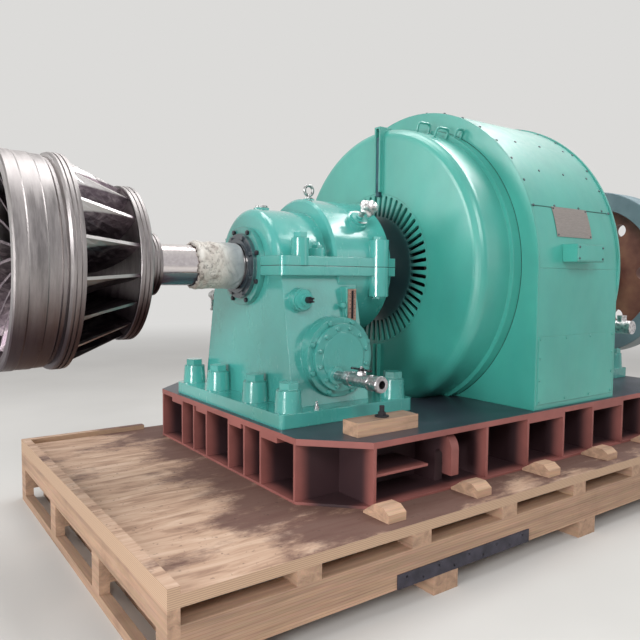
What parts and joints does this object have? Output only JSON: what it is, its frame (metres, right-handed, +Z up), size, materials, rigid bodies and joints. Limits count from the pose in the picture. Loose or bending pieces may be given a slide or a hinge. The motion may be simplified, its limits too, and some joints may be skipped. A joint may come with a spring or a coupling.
{
  "type": "hydroelectric generator set",
  "caption": "Horizontal Francis turbine generator set: open runner, teal bearing pedestals and round generator enclosure, flywheel, on a red oxide base frame and a timber shipping skid",
  "frame": {"origin": "bottom centre of the bounding box, on the floor", "axes": "+X along the shaft from the runner to the flywheel, +Y to the far side, +Z up"},
  "size_m": [5.002, 2.297, 2.44],
  "materials": {
    "timber": "rough sawn and plywood, stained in places",
    "red_oxide_paint": "matt red oxide primer",
    "teal_paint": "satin machine paint",
    "dark_steel": "dull dark steel",
    "copper": "copper coloured metal",
    "galvanised_fittings": "zinc plated and bright",
    "polished_steel": "machined and polished",
    "cast_runner_steel": "ground cast stainless steel",
    "protective_wrap": "creased cream wrapping",
    "flywheel_primer": "matt primer on the web, grey green on the rim"
  },
  "bodies": {
    "frame": {"skid_deck": "timber", "skid_bearers": "timber", "skid_beams": "timber", "skid_runners": "timber", "skid_end_frames": "timber", "skid_strap_plate": "dark_steel", "timber_chocks": "timber", "frame_top_plate": "red_oxide_paint", "frame_bottom_plate": "red_oxide_paint", "frame_long_plates": "red_oxide_paint", "frame_stiffeners": "red_oxide_paint", "lifting_hooks": "red_oxide_paint", "front_pedestal": "teal_paint", "front_cap": "teal_paint", "front_seal": "teal_paint", "front_bolts": "teal_paint", "front_side_cover": "teal_paint", "front_instruments": "copper", "front_cap_fittings": "galvanised_fittings", "drain_valve": "galvanised_fittings", "rear_pedestal": "teal_paint", "rear_cap": "teal_paint", "rear_seal": "teal_paint", "rear_bolts": "teal_paint", "rear_side_cover": "teal_paint", "rear_cap_fittings": "galvanised_fittings", "rear_valve": "galvanised_fittings", "enclosure_front_wall": "teal_paint", "enclosure_rear_wall": "teal_paint", "enclosure_roof": "teal_paint", "enclosure_sides": "teal_paint", "front_cover": "teal_paint", "vent_ring": "teal_paint", "cover_handles": "teal_paint", "terminal_box": "teal_paint", "stator_core": "dark_steel", "stator_winding": "copper"},
    "rotor": {"runner_band": "polished_steel", "runner_blades": "cast_runner_steel", "runner_crown": "polished_steel", "shaft": "polished_steel", "shaft_wrap": "protective_wrap", "flywheel": "flywheel_primer", "generator_rotor": "dark_steel"},
    "lever": {"valve_lever": "galvanised_fittings"}
  },
  "joints": [
    {"name": "rotor_spin", "type": "hinge", "parent": "frame", "child": "rotor", "pos_m": [0, 0.1085, 1.425], "axis": [1, 0, 0], "continuous": true},
    {"name": "valve_turn", "type": "hinge", "parent": "frame", "child": "lever", "pos_m": [-1.013, -0.6375, 0.913], "axis": [0, 0, 1], "range_deg": [0, 90]}
  ]
}
